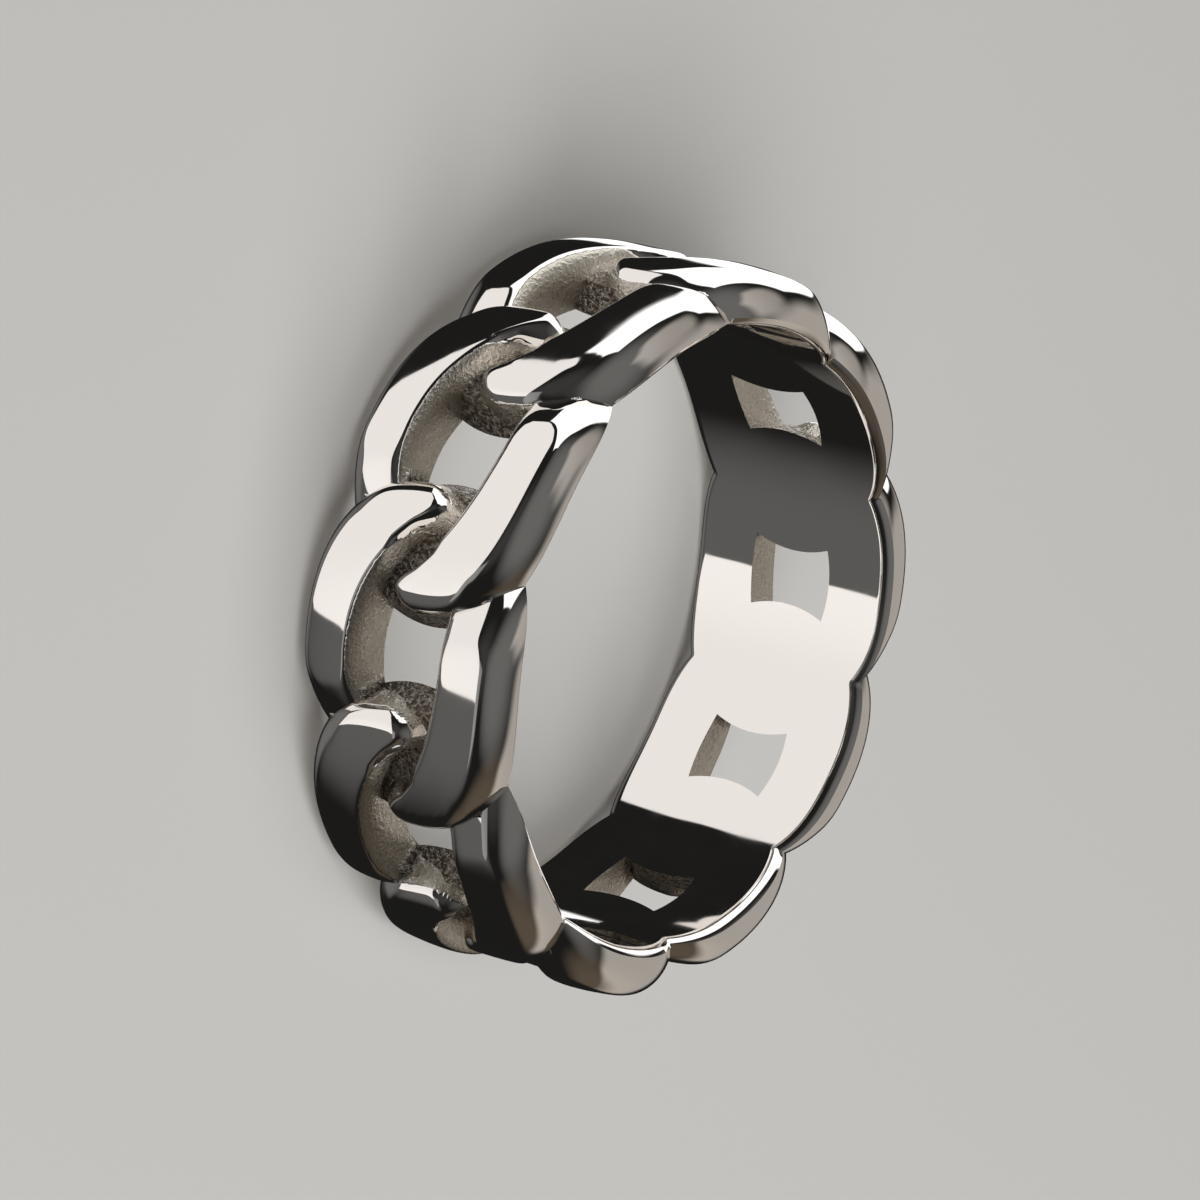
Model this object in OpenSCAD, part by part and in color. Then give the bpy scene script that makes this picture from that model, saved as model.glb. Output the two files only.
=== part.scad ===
// Finger ring cast in one piece as a closed curb chain.
// Ten oval links pass through each other. Each strand stands proud at one end
// and dives under its neighbour at the other, as twisted links do.
// The proud crowns are ground to one outside cylinder, and the bore is one smooth cylinder.
// A thin cast web closes the gaps round each link's window.
// The ring lies on its side: its axis is Z and the rims of the links rest at Z = 0.

/* [Finger hole] */
// Inside diameter of the ring
bore_d = 18.2; // [16:0.1:21]

/* [Band] */
// Metal between the bore and the ground crowns
wall = 1.65; // [1.4:0.05:2]
// Width of the band over the widest points of the links
band_w = 7; // [6.4:0.1:8]

/* [Links] */
// Number of links round the ring
link_n = 10; // [9:1:11]
// How far the ends of two neighbours reach past each other
link_overlap = 3.5; // [3:0.1:4]
// Width of a strand at the middle of its link, seen from outside
strand_w = 2.1; // [1.8:0.05:2.4]
// Width of the bow that closes a link at each end
bow_w = 1.5; // [1.2:0.05:1.8]
// Height of a strand's crown above the ground surface, before it is ground away
crown = 0.22; // [0.1:0.02:0.4]
// Height above the bore at which a strand is widest
widest_up = 0.15; // [0.05:0.05:0.4]

/* [Dive of each strand under its neighbour] */
// Distance from a link's middle at which its strand starts to dive
dive_start = 0.25; // [0.1:0.05:0.6]
// Length over which the dive builds up to its full slope
dive_ramp = 0.9; // [0.5:0.1:1.5]
// Full slope of the dive, in degrees
dive_slope = 23; // [16:1:27]
// Width of the bow over which a link turns from proud to sunk
turn_w = 1.7; // [1.2:0.1:2.4]
// Part of that width which lies on the proud side
turn_lead = 0.1; // [0:0.05:0.6]

/* [Web and windows] */
// Thickness of the cast web that fills the gaps between the links
web_t = 0.8; // [0.5:0.05:1.1]
// Distance of the web's edges from the rims
web_inset = 0.95; // [0.9:0.05:1.2]
// How far the web's lip reaches into a window past the links on each side
web_lip = 0.42; // [0.2:0.02:0.6]
// How far a window's corners reach past its waist
window_flare = 0.3; // [0.1:0.05:0.5]

/* [Hidden] */

bore_r = bore_d / 2;
outer_r = bore_r + wall;
// Middle radius of the wall, on which the links are laid out
pitch_r = bore_r + wall / 2;
pitch_a = 360 / link_n;
pitch_l = pitch_r * pitch_a * PI / 180;
link_l = pitch_l + link_overlap;
hole_l = link_l - 2 * bow_w;
hole_w = band_w - 2 * strand_w;
// Radius at which a strand is widest, before it dives, and its crown's rise above that
core_r = bore_r + widest_up;
strand_rise = outer_r + crown - core_r;

// Squareness of the link's outline and of its hole, where 2 is an ellipse
link_square = 2.8;
hole_square = 2;
// Squareness of the strand's rounding on the rim side and on the window side
rim_square = 2.3;
window_square = 3.2;
// Sections round a link, points round a section, and steps along a window's side
stations = 32;
section_points = 11;
window_steps = 6;
// Sides of the web's two circles, and of the ground outside and the bore
web_sides = 60;
true_sides = 180;
// How far a cutting shape runs past what it cuts
past = 0.5;

function to_deg(l, r) = l / r * 180 / PI;
function smooth(t) = let (c = max(0, min(1, t))) c * c * (3 - 2 * c);
// Radius of a rounded oval with half axes p and q in the direction a
function oval_r(a, p, q, n) = pow(pow(abs(cos(a)) / p, n) + pow(abs(sin(a)) / q, n), -1 / n);
// How far the strand has dived at the place v of the link's plan
function dive(v) =
    let (
        way = max(0, abs(v.x) - dive_start),
        sunk = smooth((turn_lead - v.y * sign(v.x)) / turn_w),
        run = way < dive_ramp ? way * way / dive_ramp / 2 : way - dive_ramp / 2
    )
    sunk * tan(dive_slope) * run;
// Place on the ring of the plan point v at the radius r
function bent(v, r) = let (a = to_deg(v.x, pitch_r)) [r * cos(a), r * sin(a), v.y];
// Point of the link's skin, a round the link and b over the strand from rim to window
function link_point(a, b) =
    let (
        inner = oval_r(a, hole_l / 2, hole_w / 2, hole_square),
        outer = oval_r(a, link_l / 2, band_w / 2, link_square),
        q = oval_r(b, 1, 1, cos(b) > 0 ? rim_square : window_square),
        reach = (inner + outer) / 2 + (outer - inner) / 2 * q * cos(b),
        v = reach * [cos(a), sin(a)]
    )
    bent(v, core_r + strand_rise * q * sin(b) - dive(v));

// Quads between closed rings of n points, the last ring joined to the first, as triangles
function strip_faces(rings, n) = [
    for (i = [0:rings - 1], j = [0:n - 1], k = [0, 1])
        let (i2 = (i + 1) % rings, j2 = (j + 1) % n)
        k == 0 ? [i * n + j, i * n + j2, i2 * n + j2] : [i * n + j, i2 * n + j2, i2 * n + j]
];

module link() {
    // The section starts and ends one step below its widest points, inside the bore
    turn = 180 / (section_points - 3);
    points = [
        for (i = [0:stations - 1], j = [0:section_points - 1])
            link_point(360 * i / stations, (j - 1) * turn)
    ];
    polyhedron(points, strip_faces(stations, section_points));
}

module each_link() {
    for (i = [0:link_n - 1]) rotate(pitch_a * i) children();
}

// Opening through the web, narrow at its waist where the neighbours' ends bulge in.
// Its ends lean back from the bore, so that the lip is thin.
module window() {
    waist = (pitch_l - link_l / 2) / pitch_r * bore_r - web_lip;
    half_w = hole_w / 2 + past / 10;
    side = [
        for (i = [0:window_steps])
            let (z = half_w * (2 * i / window_steps - 1))
            [waist + window_flare * pow(2 * z / hole_w, 2), z]
    ];
    loop = concat(side, [for (i = [window_steps:-1:0]) [-side[i].x, side[i].y]]);
    n = len(loop);
    function at(p, r) =
        let (lean = web_lip * (r - bore_r) / web_t, a = to_deg(p.x + sign(p.x) * lean, bore_r))
        [r * cos(a), r * sin(a), p.y];
    low = [for (p = loop) at(p, bore_r - past)];
    high = [for (p = loop) at(p, bore_r + web_t + past)];
    sides = [
        for (i = [0:n - 1], k = [0, 1])
            let (j = (i + 1) % n) k == 0 ? [i, n + j, j] : [i, n + i, n + j]
    ];
    floor = [for (i = [0:n - 1]) i];
    roof = [for (i = [n - 1:-1:0]) n + i];
    polyhedron(concat(low, high), concat([floor], [roof], sides));
}

module web() {
    difference() {
        cylinder(r = bore_r + web_t, h = band_w - 2 * web_inset, center = true, $fn = web_sides);
        cylinder(r = bore_r - past / 2, h = band_w, center = true, $fn = web_sides);
        each_link() window();
    }
}

// The rough casting, brought to its width between the rims
module casting() {
    resize([0, 0, band_w]) union() {
        each_link() link();
        web();
    }
}

// True cylinder through the whole band. Its seam lies between two links,
// so it splits no ground crown and no window.
module through(r) {
    rotate(pitch_a / 2) cylinder(r = r, h = band_w + past, center = true, $fn = true_sides);
}

module ring() {
    color("silver") translate([0, 0, band_w / 2]) difference() {
        intersection() {
            casting();
            through(outer_r);
        }
        through(bore_r);
    }
}

ring();
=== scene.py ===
import math
import bmesh
import bpy
import numpy as np
from mathutils import Matrix, Vector
from mathutils.bvhtree import BVHTree


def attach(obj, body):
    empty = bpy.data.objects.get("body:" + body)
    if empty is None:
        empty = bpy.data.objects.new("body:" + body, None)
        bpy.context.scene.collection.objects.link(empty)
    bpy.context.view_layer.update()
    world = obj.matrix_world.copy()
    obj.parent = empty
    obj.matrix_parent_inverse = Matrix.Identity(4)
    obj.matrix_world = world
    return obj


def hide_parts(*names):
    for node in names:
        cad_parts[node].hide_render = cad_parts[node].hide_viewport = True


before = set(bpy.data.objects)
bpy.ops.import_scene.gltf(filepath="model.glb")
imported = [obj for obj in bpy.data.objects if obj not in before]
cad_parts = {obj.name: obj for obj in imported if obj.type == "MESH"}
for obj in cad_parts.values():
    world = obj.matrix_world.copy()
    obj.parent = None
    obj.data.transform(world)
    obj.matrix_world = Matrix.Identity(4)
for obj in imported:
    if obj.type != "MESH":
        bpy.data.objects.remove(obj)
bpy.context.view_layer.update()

# Camera. The photograph shows the ring standing on its edge, and here it lies on its side.
# The camera keeps its place and turn in relation to the ring, which leaves it above the floor.
camera_place = Vector((83.488, 125.466, 102.573)) / 1000
camera_aim = Vector((0.401, 0.079, 3.066)) / 1000
camera_roll = math.radians(104.83)
camera_data = bpy.data.cameras.new("camera")
camera_data.sensor_width = 36
camera_data.lens = 186.95
camera_data.clip_start = 0.005
camera_data.clip_end = 20
camera = bpy.data.objects.new("camera", camera_data)
bpy.context.collection.objects.link(camera)
turn = (camera_aim - camera_place).to_track_quat("-Z", "Y").to_matrix().to_4x4()
camera.matrix_world = Matrix.Translation(camera_place) @ turn @ Matrix.Rotation(camera_roll, 4, "Z")
bpy.context.scene.camera = camera

# Ring. Ten oval curb links of sterling silver, cast in one piece with a thin web between them.
# The crowns are ground to one outside cylinder and polished with the rims and the bore,
# while the windows' walls and the clefts between the links stay as they came from the mould.

# Sizes are in millimetres, and heights are from the middle of the band until it is finished
bore_r = 9.1
wall = 1.65
band_w = 7.0
link_n = 10
strand_w = 2.1
# How far the ends of two neighbours reach past each other, and the width of a link's bow
link_overlap = 3.5
bow_w = 1.5
outer_r = bore_r + wall
pitch_r = bore_r + wall / 2
pitch_a = 2 * math.pi / link_n
pitch_l = pitch_r * pitch_a
hole_l = pitch_l + link_overlap - 2 * bow_w
hole_w = band_w - 2 * strand_w

# From a link's hole to its outer end, and the radius of the rounding over that end
end_w = 1.7
nose_r = 0.85
# Distance from the link's middle at which its strands turn into bows
bow_start = 3
# Radius at which a strand is widest, its crown before grinding, and the level it is ground to
widest_r = bore_r + 0.15
crown_r = outer_r + 0.04
ground_r = outer_r - 0.03
# Fall of the ground crown towards the rims, where it starts, and the softness of its edge
camber = 0.05
camber_start = 1.6
ground_edge = 0.1
# Dive of each strand under its neighbour: where it starts, how it builds up, and its slope
dive_start = 0.25
dive_ramp = 0.9
dive_slope = 0.31
# Breadth over which a bow turns from proud to sunk, how much sooner a strand turns until it
# has come turn_end from the middle, and how much sooner a bow's edges turn than its crown
turn_w = 1.6
turn_lead = 0.7
turn_end = 4.2
turn_rounding = 0.6
# Lean of the ground crown along the link: the bows' droop, and the slope of a sunk strand
droop = 0.014
droop_start = 2
sunk_slope = 0.114
# Squareness of the link's outline, its hole, and a strand's rounding, where 2 is an ellipse.
# The hole is less square beside a proud strand, by the pinch, which builds up at the rate.
link_squareness = 2.8
hole_squareness = 2
hole_pinch = 0.3
pinch_rate = 4
rim_squareness = 2.4
bow_squareness = 4.1
window_squareness = 4.5


def smooth(t):
    c = np.clip(t, 0, 1)
    return c * c * (3 - 2 * c)


# Radius in the direction a of a rounded oval with the half axes p and q
def oval(a, p, q, squareness):
    along = (np.abs(np.cos(a)) / p) ** squareness
    across = (np.abs(np.sin(a)) / q) ** squareness
    return (along + across) ** (-1 / squareness)


# Lower of p and q, with the corner between them rounded over the breadth k
def blended_min(p, q, k):
    return np.minimum(p, q) - np.maximum(k - np.abs(p - q), 0) ** 3 / (6 * k * k)


# Skin of the link that lies across +X, as angle round the ring, radius and height.
# a runs round the link's oval, and b over its strand from the rim to the window.
def link_skin(a, b):
    pinched = hole_squareness - hole_pinch * smooth(pinch_rate * np.sin(2 * a))
    inner = oval(a, hole_l / 2, hole_w / 2, pinched)
    outer = oval(a, hole_l / 2 + end_w, band_w / 2, link_squareness)
    half = (outer - inner) / 2
    bow = smooth(np.abs((inner + half) * np.cos(a)) - bow_start)
    rim_side = rim_squareness + (bow_squareness - rim_squareness) * bow
    q = oval(b, 1, 1, np.where(np.cos(b) > 0, rim_side, window_squareness))
    across = q * np.cos(b)
    reach = inner + half + half * across
    x, z = reach * np.cos(a), reach * np.sin(a)
    far = np.abs(x)
    lead = turn_lead * np.clip(turn_end - far, 0, 1) + turn_rounding * bow * across ** 2
    sunk = smooth((lead - z * np.sign(x)) / turn_w)
    way = np.maximum(far - dive_start, 0)
    run = np.where(way < dive_ramp, way ** 2 / dive_ramp / 2, way - dive_ramp / 2)
    height = widest_r + (crown_r - widest_r) * q * np.sin(b) - sunk * dive_slope * run
    ground = ground_r - camber * np.maximum(np.abs(z) - camber_start, 0) ** 2
    lean = droop * (far - droop_start) ** 2 + sunk * sunk_slope * far
    from_edge = np.clip(nose_r - half * (1 - across), 0, nose_r)
    nose = bow * (nose_r - np.sqrt(nose_r ** 2 - from_edge ** 2))
    return np.stack([x / pitch_r, blended_min(height, ground, ground_edge) - lean - nose, z], -1)


def in_space(polar):
    return np.stack([polar[..., 1] * np.cos(polar[..., 0]),
                     polar[..., 1] * np.sin(polar[..., 0]), polar[..., 2]], -1)


def unit(vectors):
    return vectors / np.linalg.norm(vectors, axis=-1)[..., None]


# Directions along the radius and round the ring at each of the points p
def ring_directions(p):
    radial = p * (1, 1, 0) / np.maximum(np.hypot(p[:, 0], p[:, 1]), 1e-9)[:, None]
    return radial, np.stack([-radial[:, 1], radial[:, 0], radial[:, 2]], -1)


# Stores one value for each vertex on the corners, where it outlives the cutting and joining
def mark_corners(mesh, name, values):
    vertex = np.zeros(len(mesh.loops), int)
    mesh.loops.foreach_get("vertex_index", vertex)
    kind, field = ("FLOAT_VECTOR", "vector") if values.ndim == 2 else ("FLOAT", "value")
    mesh.attributes.new(name, kind, "CORNER").data.foreach_set(field, values[vertex].ravel())


# Closed grid of faces, rows round one way and columns the other. The surface normal is
# stored along the radius, round the ring and along the axis, so that it stays right when
# the piece is turned round the axis. cast marks metal left as it came from the mould.
def grid_piece(name, points, normals, cast=0.0, close_rows=True, close_columns=True):
    rows, columns = points.shape[:2]
    index = np.arange(rows * columns).reshape(rows, columns)
    down = np.roll(index, -1, 0)
    quads = np.stack([index, down, np.roll(down, -1, 1), np.roll(index, -1, 1)], -1)
    quads = quads[:rows - (not close_rows), :columns - (not close_columns)].reshape(-1, 4)
    p = points.reshape(-1, 3)
    first, second, third, fourth = (p[quads[:, k]] for k in range(4))
    if (first * (np.cross(second, third) + np.cross(third, fourth))).sum() < 0:
        quads = quads[:, ::-1]
    mesh = bpy.data.meshes.new(name)
    mesh.from_pydata(p.tolist(), [], quads.tolist())
    radial, round_ring = ring_directions(p)
    n = normals.reshape(-1, 3)
    skin = np.stack([(n * radial).sum(1), (n * round_ring).sum(1), n[:, 2]], -1)
    mark_corners(mesh, "skin", skin)
    mark_corners(mesh, "cast", np.broadcast_to(cast, points.shape[:2]).ravel())
    piece = bpy.data.objects.new(name, mesh)
    bpy.context.collection.objects.link(piece)
    return piece


# Steps along values, n of them, with more where weight is high
def even_steps(values, weight, n):
    walked = np.concatenate([[0], np.cumsum(weight)])
    return np.interp(np.linspace(0, walked[-1], n), walked, values)


# Sections round the link stand closer at its bows and where its strands start to dive,
# which are angles of its oval with a spread. The points over each section stand closer
# where it bends, and it runs past its widest points by the skirt, down inside the bore.
stations = 200
section_points = 46
bow_at = 0.15
bow_spread = 0.45
dive_at = 1.75
dive_spread = 0.16
extra_at_dive = 1.6
skirt = math.radians(22)
fine = np.linspace(0, math.pi, 2001)
middle = (fine[1:] + fine[:-1]) / 2
path = in_space(link_skin(fine, np.full_like(fine, math.pi / 2)))
near_bow = np.exp(-((np.minimum(middle, math.pi - middle) - bow_at) / bow_spread) ** 2)
near_dive = np.exp(-((middle - dive_at) / dive_spread) ** 2)
closeness = 1 + near_bow + extra_at_dive * near_dive
weight = np.linalg.norm(np.diff(path, axis=0), axis=1) * closeness
half_turn = even_steps(fine, weight, stations // 2 + 1)[:-1]
a = np.concatenate([half_turn, half_turn + math.pi])
dense = np.linspace(-skirt, math.pi + skirt, 1201)
# Length and bend that weigh alike, and the number of steps over which the bend is evened
weighed_length = 6
weighed_bend = 3.2
evened = 9
b = []
for station in a:
    step = np.diff(in_space(link_skin(np.full_like(dense, station), dense)), axis=0)
    heading = unit(step)
    bend = np.zeros(len(step))
    bend[1:] = np.arccos(np.clip((heading[1:] * heading[:-1]).sum(1), -1, 1))
    bend = np.convolve(bend, np.ones(evened) / evened, "same")
    weight = np.linalg.norm(step, axis=1) / weighed_length + bend / weighed_bend
    b.append(even_steps(dense, weight, section_points))
b = np.array(b)
a = np.repeat(a[:, None], section_points, 1)
points = in_space(link_skin(a, b))
h = 1e-4
along = in_space(link_skin(a + h, b)) - in_space(link_skin(a - h, b))
over = in_space(link_skin(a, b + h)) - in_space(link_skin(a, b - h))
normals = unit(np.cross(along, over))
normals *= np.sign(normals[0, section_points // 2, 0])


# How far the values lie past a limit, from 0 to 1 over the fade. With a fade below 0, how
# far they fall short of it.
def past_limit(values, limit, fade):
    return smooth((values - limit) / fade)


# As cast are the window's side of a strand, up to a share of its height, and the outer end
# of a bow, below a radius and clear of the rims.
polished_share = 0.95
end_from = 4.2
end_polished_r = 10.3
end_polished_z = 2.6
radius = np.hypot(points[..., 0], points[..., 1])
height = np.abs(points[..., 2])
share_up = oval(b, 1, 1, window_squareness) * np.sin(b)
window_side = past_limit(b, math.radians(100), math.radians(10))
window_side *= past_limit(share_up, polished_share, -0.06)
end_wall = past_limit(np.abs(points[..., 1]), end_from, 0.3)
end_wall *= past_limit(radius, end_polished_r, -0.15) * past_limit(height, end_polished_z, -0.3)
link = grid_piece("link", points, normals, np.maximum(window_side, end_wall))

# The clefts are what lies close to a neighbouring link, deep down and clear of the rims. Their mark
# darkens the colour there, as dirt and as painted shade, and coarsens the grit.
cleft_gap = 0.4
cleft_top_r = 10.2
cleft_top_z = 2.7
spots = [Vector(p) for p in points.reshape(-1, 3)]
faces = [tuple(face.vertices) for face in link.data.polygons]
gap = np.full(len(spots), band_w)
for side in (1, -1):
    to_neighbour = Matrix.Rotation(side * pitch_a, 3, "Z")
    neighbour = BVHTree.FromPolygons([to_neighbour @ spot for spot in spots], faces)
    gap = np.minimum(gap, [neighbour.find_nearest(spot)[3] for spot in spots])
cleft = past_limit(gap, cleft_gap, -0.3) * past_limit(radius.ravel(), cleft_top_r, -0.2)
cleft *= past_limit(height.ravel(), cleft_top_z, -0.3)
mark_corners(link.data, "cleft", cleft)

# Web between the links, and the cutter that opens its windows. A window is narrow at its
# waist, where the neighbours' ends bulge in, and its ends lean back so that the lip is thin.
web_t = 0.8
web_inset = 0.95
web_lip = 0.42
web_z = band_w / 2 - web_inset
web_under = bore_r - 0.3
web_over = bore_r + web_t
web_sides = 240
web_angles = np.linspace(0, 2 * math.pi, web_sides, endpoint=False)[:, None]
web_radii = np.array([web_under, web_over, web_over, web_under])
web_points = np.stack([np.cos(web_angles) * web_radii, np.sin(web_angles) * web_radii,
                       0 * web_angles + web_z * np.array([-1, -1, 1, 1])], -1)
web = grid_piece("web", web_points, unit(web_points * (1, 1, 0)), 1.0)
mark_corners(web.data, "cleft", np.ones(len(web.data.vertices)))

# How far the window's corners reach past its waist, and how far a cutter runs past its cut
flare = 0.3
past = 0.5
waist = (pitch_l - link_overlap) / 2 / pitch_r * bore_r - web_lip
z = np.linspace(-1, 1, 25) * (hole_w / 2 + past / 10)
x = waist + flare * (2 * z / hole_w) ** 2
levels = np.array([-past, 0, web_t / 2, web_t, web_t + past])[:, None, None]
side = np.array([1, -1])[:, None]
window_points = in_space(np.stack(np.broadcast_arrays(
    side * (x + web_lip * levels / web_t) / bore_r, bore_r + levels, side * z), -1))
window_normals = unit(np.cross(np.gradient(window_points, axis=0),
                               np.gradient(window_points, axis=2)))
window_normals *= -np.sign(window_normals[..., 1:2] * window_points[..., 1:2])
window_grid = (len(levels), 2 * len(z), 3)
window = grid_piece("window", window_points.reshape(window_grid),
                    window_normals.reshape(window_grid), 1.0, close_rows=False)
mark_corners(window.data, "cleft", np.ones(len(window.data.vertices)))


def cap_ends(piece):
    shell = bmesh.new()
    shell.from_mesh(piece.data)
    bmesh.ops.holes_fill(shell, edges=[edge for edge in shell.edges if edge.is_boundary], sides=0)
    bmesh.ops.recalc_face_normals(shell, faces=shell.faces)
    shell.to_mesh(piece.data)
    shell.free()


cap_ends(window)


# Finger hole. Its cutter is one cylinder that flares at the scalloped rims, where the bore's
# edge is rounded. The rim follows the links' outline just above the bore.
rim_up = 0.05


def rim_line(angle):
    a = np.linspace(0, math.pi, 721)[:, None]
    b = np.linspace(-skirt, math.radians(80), 200)[None, :]
    skin = link_skin(a + 0 * b, b + 0 * a)
    edge = np.array([np.interp(bore_r + rim_up, row[:, 1], np.arange(len(row))) for row in skin])
    low = edge.astype(int).clip(0, skin.shape[1] - 2)
    line = np.array([row[k] + (row[k + 1] - row[k]) * (e - k)
                     for row, k, e in zip(skin, low, edge)])
    order = np.argsort(line[:, 0])
    width = np.zeros_like(angle)
    for m in range(-2, 3):
        near = (angle + pitch_a / 2) % pitch_a - pitch_a / 2 + m * pitch_a
        width = np.maximum(width, np.interp(near, line[order, 0], line[order, 2], left=0, right=0))
    return width


# Radius of the edge's rounding, and the slope at which it runs on past the rim
rounding = 0.36
steepest = math.radians(60)
# Distance from the rims at which the plain bore is divided into even rows
plain_from = 0.3
bore_sides = 720
angle = np.linspace(0, 2 * math.pi, bore_sides, endpoint=False)
top, low = rim_line(angle)[:, None], rim_line(-angle)[:, None]
arc_start = rounding * (1 - math.sin(steepest))
inset = np.concatenate([[-past, -0.02], np.linspace(arc_start, rounding, 6)])
on_arc = rounding - np.clip(inset, arc_start, rounding)
widened = bore_r + rounding - np.sqrt(rounding ** 2 - on_arc ** 2)
widened += np.maximum(arc_start - inset, 0) * math.tan(steepest)
share = np.linspace(-1, 1, 9)[1:-1]
plain = share * (np.where(share < 0, low, top) - plain_from)
rows = np.concatenate([inset - low, plain, top - inset[::-1]], 1)
radii = np.concatenate([widened, np.full(len(share), bore_r), widened[::-1]])
bore_points = np.stack([radii * np.cos(angle)[:, None], radii * np.sin(angle)[:, None], rows], -1)
along = np.roll(bore_points, -1, 0) - np.roll(bore_points, 1, 0)
bore_normals = unit(np.cross(np.gradient(bore_points, axis=1), along))
inside = slice(len(inset) - 1, -len(inset) + 1)
bore_normals[:, inside] = unit(bore_points[:, inside] * (-1, -1, 0))
bore = grid_piece("bore", bore_points, bore_normals, close_columns=False)
cap_ends(bore)


# Adds a node with its settings. A socket is given a value, or the output or outputs it follows.
def add_node(tree, kind, settings=None, sockets=None):
    node = tree.nodes.new(kind)
    for name, value in (settings or {}).items():
        setattr(node, name, value)
    for key, value in (sockets or {}).items():
        sources = value if isinstance(value, list) else [value]
        if isinstance(sources[0], bpy.types.NodeSocket):
            for source in sources:
                tree.links.new(source, node.inputs[key])
        else:
            node.inputs[key].default_value = value
    return node


# Closed chain: the links stand round the axis and are joined with the pierced web, and the
# finger hole is bored through them all.
chain = bpy.data.node_groups.new("closed chain of links", "GeometryNodeTree")
for name, kind in (("Link", "Geometry"), ("Links", "Int"), ("Web", "Object"), ("Window", "Object"),
                   ("Bore", "Object"), ("Metal", "Material")):
    chain.interface.new_socket(name, in_out="INPUT", socket_type="NodeSocket" + kind)
chain.interface.new_socket("Ring", in_out="OUTPUT", socket_type="NodeSocketGeometry")
given = add_node(chain, "NodeGroupInput").outputs
shape = {}
for name in ("Web", "Window", "Bore"):
    info = add_node(chain, "GeometryNodeObjectInfo", sockets={"Object": given[name]})
    shape[name] = info.outputs["Geometry"]
number = add_node(chain, "GeometryNodeInputIndex").outputs[0]
step = add_node(chain, "ShaderNodeMath", {"operation": "DIVIDE"},
                {0: 2 * math.pi, 1: given["Links"]})
angle = add_node(chain, "ShaderNodeMath", {"operation": "MULTIPLY"},
                 {0: number, 1: step.outputs[0]})
turned = add_node(chain, "ShaderNodeCombineXYZ", sockets={"Z": angle.outputs[0]})
places = add_node(chain, "GeometryNodeMeshLine",
                  sockets={"Count": given["Links"], "Offset": (0, 0, 0)})
placed = {}
for name, piece in (("Link", given["Link"]), ("Window", shape["Window"])):
    placing = add_node(chain, "GeometryNodeInstanceOnPoints", sockets={
        "Points": places.outputs[0], "Instance": piece, "Rotation": turned.outputs[0]})
    placed[name] = placing.outputs[0]
cut = {"operation": "DIFFERENCE", "solver": "MANIFOLD"}
join = {"operation": "UNION", "solver": "MANIFOLD"}
pierced = add_node(chain, "GeometryNodeMeshBoolean", cut,
                   {0: shape["Web"], 1: placed["Window"]})
joined = add_node(chain, "GeometryNodeMeshBoolean", join,
                  {1: [placed["Link"], pierced.outputs[0]]})
bored = add_node(chain, "GeometryNodeMeshBoolean", cut,
                 {0: joined.outputs[0], 1: shape["Bore"]})
whole = add_node(chain, "GeometryNodeRealizeInstances", sockets={"Geometry": bored.outputs[0]})
coated = add_node(chain, "GeometryNodeSetMaterial",
                  sockets={"Geometry": whole.outputs[0], "Material": given["Metal"]})
add_node(chain, "NodeGroupOutput", sockets={"Ring": coated.outputs[0]})


# Colour as sRGB hex turned to linear
def linear(hex_colour):
    parts = [int(hex_colour[i:i + 2], 16) / 255 for i in (1, 3, 5)]
    return [c / 12.92 if c <= 0.04045 else ((c + 0.055) / 1.055) ** 2.4 for c in parts] + [1]


# Sterling silver, investment cast, with its outside, rims and bore polished to a mirror. It
# mirrors the softboxes as crisp warm-white shapes, with the faint unevenness and smudges of
# hand polishing. In the recesses the mould's fine grit is left, dull grey, and the clefts are
# darkened brown in the colour, partly as dirt and partly as painted shade of the deep recesses.
# The grit is drawn at 0.12 mm, coarser than it is, so that it shows.
silver = bpy.data.materials.new("polished cast sterling silver")
silver.use_nodes = True
finish = silver.node_tree
finish.nodes.clear()
place = add_node(finish, "ShaderNodeTexCoord").outputs["Object"]


def grain(size_mm, detail=2.0):
    return {"Vector": place, "Scale": 1000 / size_mm, "Detail": detail, "Roughness": 0.6}


grit = add_node(finish, "ShaderNodeTexNoise", sockets=grain(0.12, 3)).outputs["Fac"]
lumps = add_node(finish, "ShaderNodeTexNoise", sockets=grain(0.2)).outputs["Fac"]
smudges = add_node(finish, "ShaderNodeTexNoise", sockets=grain(1.2, 4)).outputs["Fac"]
waves = add_node(finish, "ShaderNodeTexNoise", sockets=grain(2.0, 0)).outputs["Fac"]
marks = {name: add_node(finish, "ShaderNodeAttribute", {"attribute_name": name}).outputs["Fac"]
         for name in ("cast", "cleft")}
recess = add_node(finish, "ShaderNodeMath", {"operation": "MAXIMUM"},
                  {0: marks["cast"], 1: marks["cleft"]})
# The polish ends in a broken browned line. In the clefts the pits between the worn specks are
# darkened, partly as dirt and partly as painted shade of the deep recesses.
broken = add_node(finish, "ShaderNodeMath", {"operation": "MULTIPLY_ADD"},
                  {0: lumps, 1: 0.6, 2: recess.outputs[0]})
raw = add_node(finish, "ShaderNodeMapRange", {"interpolation_type": "SMOOTHSTEP"},
               {"Value": broken.outputs[0], "From Min": 0.65, "From Max": 1.0}).outputs[0]
edge = add_node(finish, "ShaderNodeMath", {"operation": "PINGPONG"}, {0: raw, 1: 0.5}).outputs[0]
pits = add_node(finish, "ShaderNodeMapRange", {"interpolation_type": "SMOOTHSTEP"},
                {"Value": grit, "From Min": 0.6, "From Max": 0.42, "To Min": 0.2, "To Max": 0.9})
# Painted shade: the pits of the clefts are darkened brown in the colour, partly as dirt and partly as
# the shade of the deep recesses.
dirt_and_shade = add_node(finish, "ShaderNodeMath", {"operation": "MULTIPLY"},
                {0: marks["cleft"], 1: pits.outputs[0]})
browned_and_shaded = add_node(finish, "ShaderNodeMath", {"operation": "ADD"}, {0: dirt_and_shade.outputs[0], 1: edge})
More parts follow.
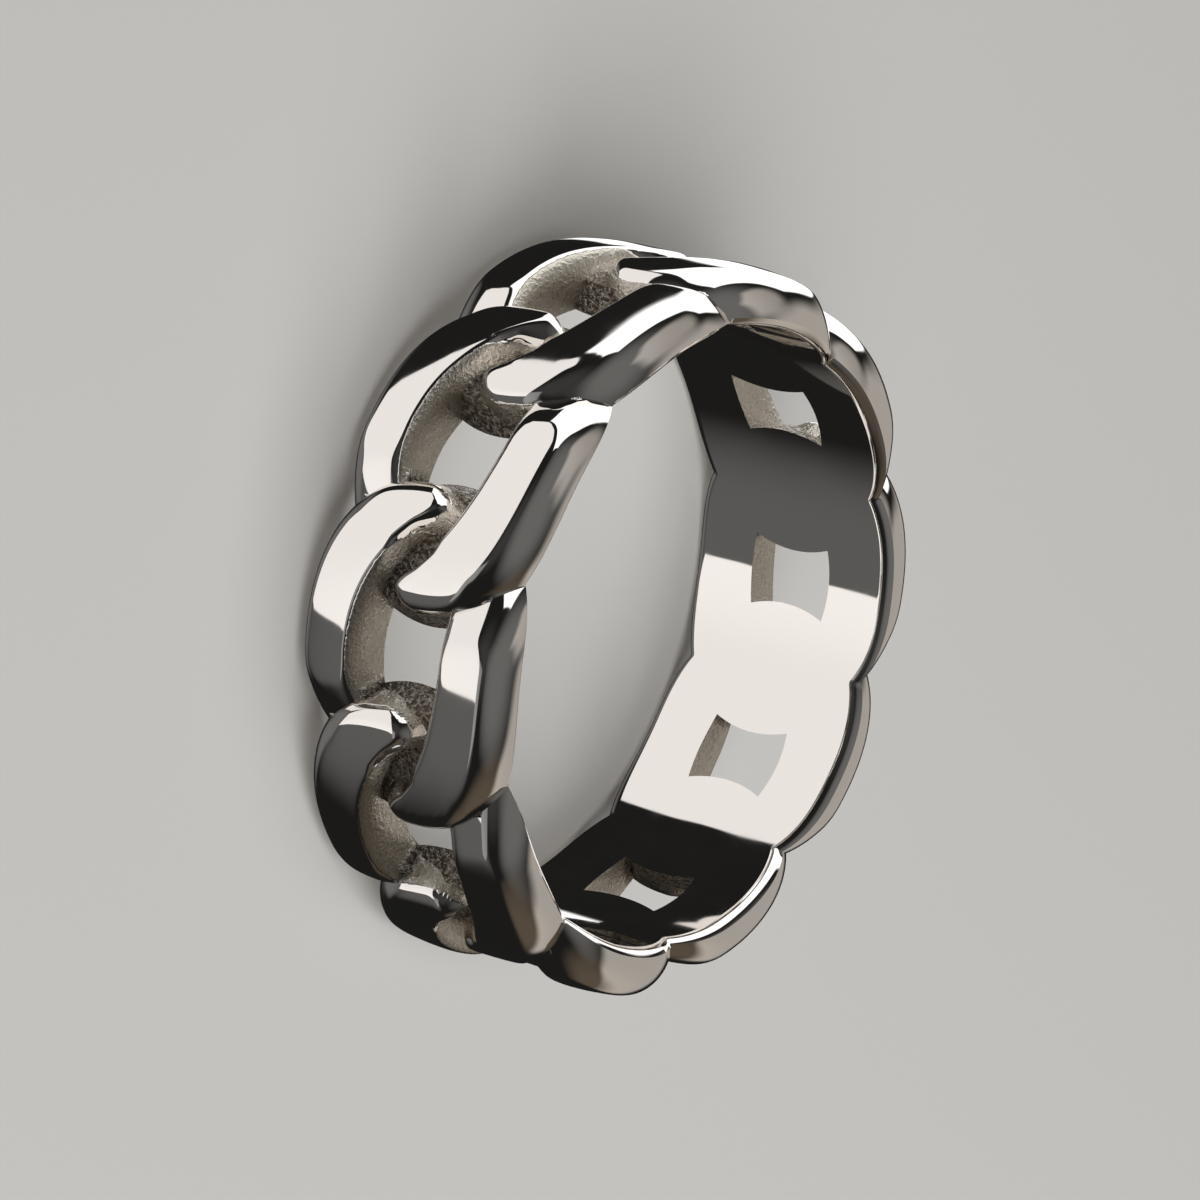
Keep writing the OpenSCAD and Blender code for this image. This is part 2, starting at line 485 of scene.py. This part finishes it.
# The dark brown is the broken edge of the polish and, in the clefts, dirt together with painted shade.
dull = add_node(finish, "ShaderNodeMix", {"data_type": "RGBA"},
                {"Factor": browned_and_shaded.outputs[0], 6: linear("#ddd6ca"), 7: linear("#64564a")})
colour = add_node(finish, "ShaderNodeMix", {"data_type": "RGBA"},
                  {"Factor": raw, 6: linear("#f3f0ec"), 7: dull.outputs[2]})
polish = add_node(finish, "ShaderNodeMapRange", sockets={
    "Value": smudges, "From Min": 0.35, "From Max": 0.75, "To Min": 0.03, "To Max": 0.08})
matt = add_node(finish, "ShaderNodeMapRange", sockets={
    "Value": grit, "From Min": 0.35, "From Max": 0.65, "To Min": 0.5, "To Max": 0.22})
roughness = add_node(finish, "ShaderNodeMix", {"data_type": "FLOAT"},
                     {"Factor": raw, 2: polish.outputs[0], 3: matt.outputs[0]})
coarse = add_node(finish, "ShaderNodeMath", {"operation": "MULTIPLY_ADD"},
                  {0: marks["cleft"], 1: 0.75, 2: 0.15})
bumps = add_node(finish, "ShaderNodeMath", {"operation": "MULTIPLY"},
                 {0: grit, 1: coarse.outputs[0]})
raw_bumps = add_node(finish, "ShaderNodeMath", {"operation": "MULTIPLY"},
                     {0: bumps.outputs[0], 1: raw})
gritty = add_node(finish, "ShaderNodeBump", sockets={
    "Height": raw_bumps.outputs[0], "Distance": 0.3 / 1000, "Strength": 1.0})
uneven = add_node(finish, "ShaderNodeBump", sockets={
    "Height": waves, "Distance": 0.02 / 1000, "Strength": 1.0, "Normal": gritty.outputs[0]})
metal = add_node(finish, "ShaderNodeBsdfPrincipled", sockets={
    "Metallic": 1.0, "Base Color": colour.outputs[2], "Roughness": roughness.outputs[0],
    "Normal": uneven.outputs[0]})
add_node(finish, "ShaderNodeOutputMaterial", sockets={"Surface": metal.outputs[0]})

grow = link.modifiers.new("closed chain", "NODES")
grow.node_group = chain
values = {"Links": link_n, "Web": web, "Window": window, "Bore": bore, "Metal": silver}
for socket in chain.interface.items_tree:
    if socket.name in values:
        grow[socket.identifier] = values[socket.name]
mesh = bpy.data.meshes.new_from_object(link.evaluated_get(bpy.context.evaluated_depsgraph_get()))
mesh.name = "ring_silver"
for piece in (link, web, window, bore):
    bpy.data.objects.remove(piece)

# The stored normals are turned to each corner's own place on the ring, and the ring is
# brought to metres with its lower rims on the floor.
polar = np.zeros(len(mesh.loops) * 3)
mesh.attributes["skin"].data.foreach_get("vector", polar)
polar = polar.reshape(-1, 3)
vertex = np.zeros(len(mesh.loops), int)
mesh.loops.foreach_get("vertex_index", vertex)
p = np.zeros(len(mesh.vertices) * 3)
mesh.vertices.foreach_get("co", p)
p = p.reshape(-1, 3)
radial, round_ring = ring_directions(p)
normals = radial[vertex] * polar[:, :1] + round_ring[vertex] * polar[:, 1:2] + polar * (0, 0, 1)
mesh.vertices.foreach_set("co", ((p + (0, 0, band_w / 2)) / 1000).ravel())
mesh.update()
mesh.shade_smooth()
mesh.normals_split_custom_set(unit(normals).tolist())
mesh.attributes.remove(mesh.attributes["skin"])
ring = bpy.data.objects.new("ring_silver", mesh)
bpy.context.collection.objects.link(ring)
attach(ring, "root")
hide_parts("ring")

# Floor. Plain pale matt board, large enough to fill the view. The metal doesn't mirror it,
# and it lets the light from below through.
floor_half = 1.5
corners = [(x * floor_half, y * floor_half, 0) for x, y in ((-1, -1), (1, -1), (1, 1), (-1, 1))]
floor_mesh = bpy.data.meshes.new("floor")
floor_mesh.from_pydata(corners, [], [(0, 1, 2, 3)])
floor = bpy.data.objects.new("floor", floor_mesh)
bpy.context.collection.objects.link(floor)
board = bpy.data.materials.new("matt board")
board.use_nodes = True
board.node_tree.nodes["Principled BSDF"].inputs["Base Color"].default_value = linear("#d9d7d3")
board.node_tree.nodes["Principled BSDF"].inputs["Roughness"].default_value = 0.9
floor_mesh.materials.append(board)
floor.visible_glossy = False
floor.visible_shadow = False

# Studio light. The metal mirrors softboxes round it in a dark room, of which the biggest hangs
# low, because the upright crowns and the bore mirror what lies below the camera. One more, which
# the metal doesn't mirror, lights the floor from above and gives the soft shadow.

# Directions are an azimuth from +X towards +Y and an elevation, in degrees
world = bpy.data.worlds.new("dim studio")
world.use_nodes = True
room = world.node_tree
room.nodes.clear()
sight = add_node(room, "ShaderNodeTexCoord").outputs["Generated"]
parts = add_node(room, "ShaderNodeSeparateXYZ", sockets={0: sight}).outputs
around = add_node(room, "ShaderNodeMath", {"operation": "ARCTAN2"}, {0: parts["Y"], 1: parts["X"]})
azimuth = add_node(room, "ShaderNodeMath", {"operation": "DEGREES"}, {0: around.outputs[0]})
rise = add_node(room, "ShaderNodeMath", {"operation": "ARCSINE"}, {0: parts["Z"]})
elevation = add_node(room, "ShaderNodeMath", {"operation": "DEGREES"}, {0: rise.outputs[0]})
glows = [add_node(room, "ShaderNodeBackground",
                  sockets={"Color": linear("#fffdfb"), "Strength": 0.012})]


def toward(azimuth, elevation):
    a, e = math.radians(azimuth), math.radians(elevation)
    return Vector((math.cos(a) * math.cos(e), math.sin(a) * math.cos(e), math.sin(e)))


# Softbox with straight edges between its corners, each faded over a softness in degrees
def softbox(corners, brightness, softness, colour="#ffffff"):
    middle = np.mean(corners, 0)
    wrapped = add_node(room, "ShaderNodeMath", {"operation": "WRAP"},
                       {0: azimuth.outputs[0], 1: middle[0] + 180, 2: middle[0] - 180})
    spot = add_node(room, "ShaderNodeCombineXYZ",
                    sockets={"X": wrapped.outputs[0], "Y": elevation.outputs[0], "Z": 1.0}).outputs[0]
    amount = brightness
    for here, there in zip(corners, corners[1:] + corners[:1]):
        run = np.subtract(there, here)
        inward = np.array([-run[1], run[0]]) / np.hypot(*run)
        inward *= np.sign(inward @ (middle - here))
        depth = add_node(room, "ShaderNodeVectorMath", {"operation": "DOT_PRODUCT"},
                         {0: spot, 1: (*inward, -inward @ here)})
        fade = add_node(room, "ShaderNodeMapRange", {"interpolation_type": "SMOOTHSTEP"},
                        {"Value": depth.outputs["Value"], "From Min": -softness, "From Max": softness})
        amount = add_node(room, "ShaderNodeMath", {"operation": "MULTIPLY"},
                          {0: fade.outputs[0], 1: amount}).outputs[0]
    glows.append(add_node(room, "ShaderNodeBackground",
                          sockets={"Color": linear(colour), "Strength": amount}))


# Round glow that fades from its core to its reach, both in degrees from its middle
def round_glow(azimuth, elevation, reach, core, brightness, colour="#fffdfb"):
    facing = add_node(room, "ShaderNodeVectorMath", {"operation": "DOT_PRODUCT"},
                      {0: sight, 1: toward(azimuth, elevation)})
    fade = add_node(room, "ShaderNodeMapRange", {"interpolation_type": "SMOOTHSTEP"},
                    {"Value": facing.outputs["Value"], "From Min": math.cos(math.radians(reach)),
                     "From Max": math.cos(math.radians(core)), "To Max": brightness})
    glows.append(add_node(room, "ShaderNodeBackground",
                          sockets={"Color": linear(colour), "Strength": fade.outputs[0]}))


# Low softbox that whitens the crowns and the bore
softbox([(345, -33), (378, -64), (447, -64), (447, -12), (364, -12), (346, -27)],
        0.9, 0.4, "#fffbf9")
# Two softboxes at the side, which meet and put the white patches on the shoulders
softbox([(249, -37), (262, -37), (280, -27), (280, 32), (268, 27), (262, 5)], 1.3, 1)
softbox([(280, -27), (342, -27), (357, 0), (365, 30), (350, 47), (280, 32)], 1.3, 1)
# Dim strip past the low softbox's upper edge
softbox([(93, -13), (118, -12), (100, 4), (72, 10), (68, -12)], 0.2, 2)
# Two soft panels that turn the rims a warm grey
softbox([(198, -8), (255, -8), (258, 30), (240, 46), (205, 38)], 0.38, 6, "#fff7ee")
softbox([(246, 40), (262, 34), (284, 40), (300, 60), (270, 72), (240, 56)], 0.3, 6, "#fff7ee")
# Grey ceiling, what the walls and the table give back, and a warm wall
round_glow(0, 90, 52, 10, 0.13)
round_glow(56, 22, 40, 5, 0.03)
round_glow(100, -28, 42, 3, 0.1)
round_glow(0, -90, 36, 12, 0.14)
round_glow(183, 18, 42, 5, 0.12, "#dcc3a5")
light = glows[0]
for glow in glows[1:]:
    light = add_node(room, "ShaderNodeAddShader",
                     sockets={0: light.outputs[0], 1: glow.outputs[0]})
add_node(room, "ShaderNodeOutputWorld", sockets={"Surface": light.outputs[0]})
world.cycles_visibility.diffuse = False
bpy.context.scene.world = world
bpy.context.scene.view_settings.view_transform = "Standard"

# Square diffuser over the ring: its distance, the angle from its middle to its edge as the
# ring sees it, and its strength
distance = 0.4
half_angle = math.radians(35)
strength = 2.3
diffuser_data = bpy.data.lights.new("diffuser", "AREA")
diffuser_data.size = 2 * distance * math.tan(half_angle)
diffuser_data.energy = strength * math.pi * diffuser_data.size ** 2
diffuser = bpy.data.objects.new("diffuser", diffuser_data)
way = toward(140, 62)
aim = way.to_track_quat("Z", "Y").to_matrix().to_4x4()
ring_middle = Vector((0, 0, band_w / 2 / 1000))
diffuser.matrix_world = Matrix.Translation(ring_middle + way * distance) @ aim
bpy.context.collection.objects.link(diffuser)
diffuser.visible_glossy = False
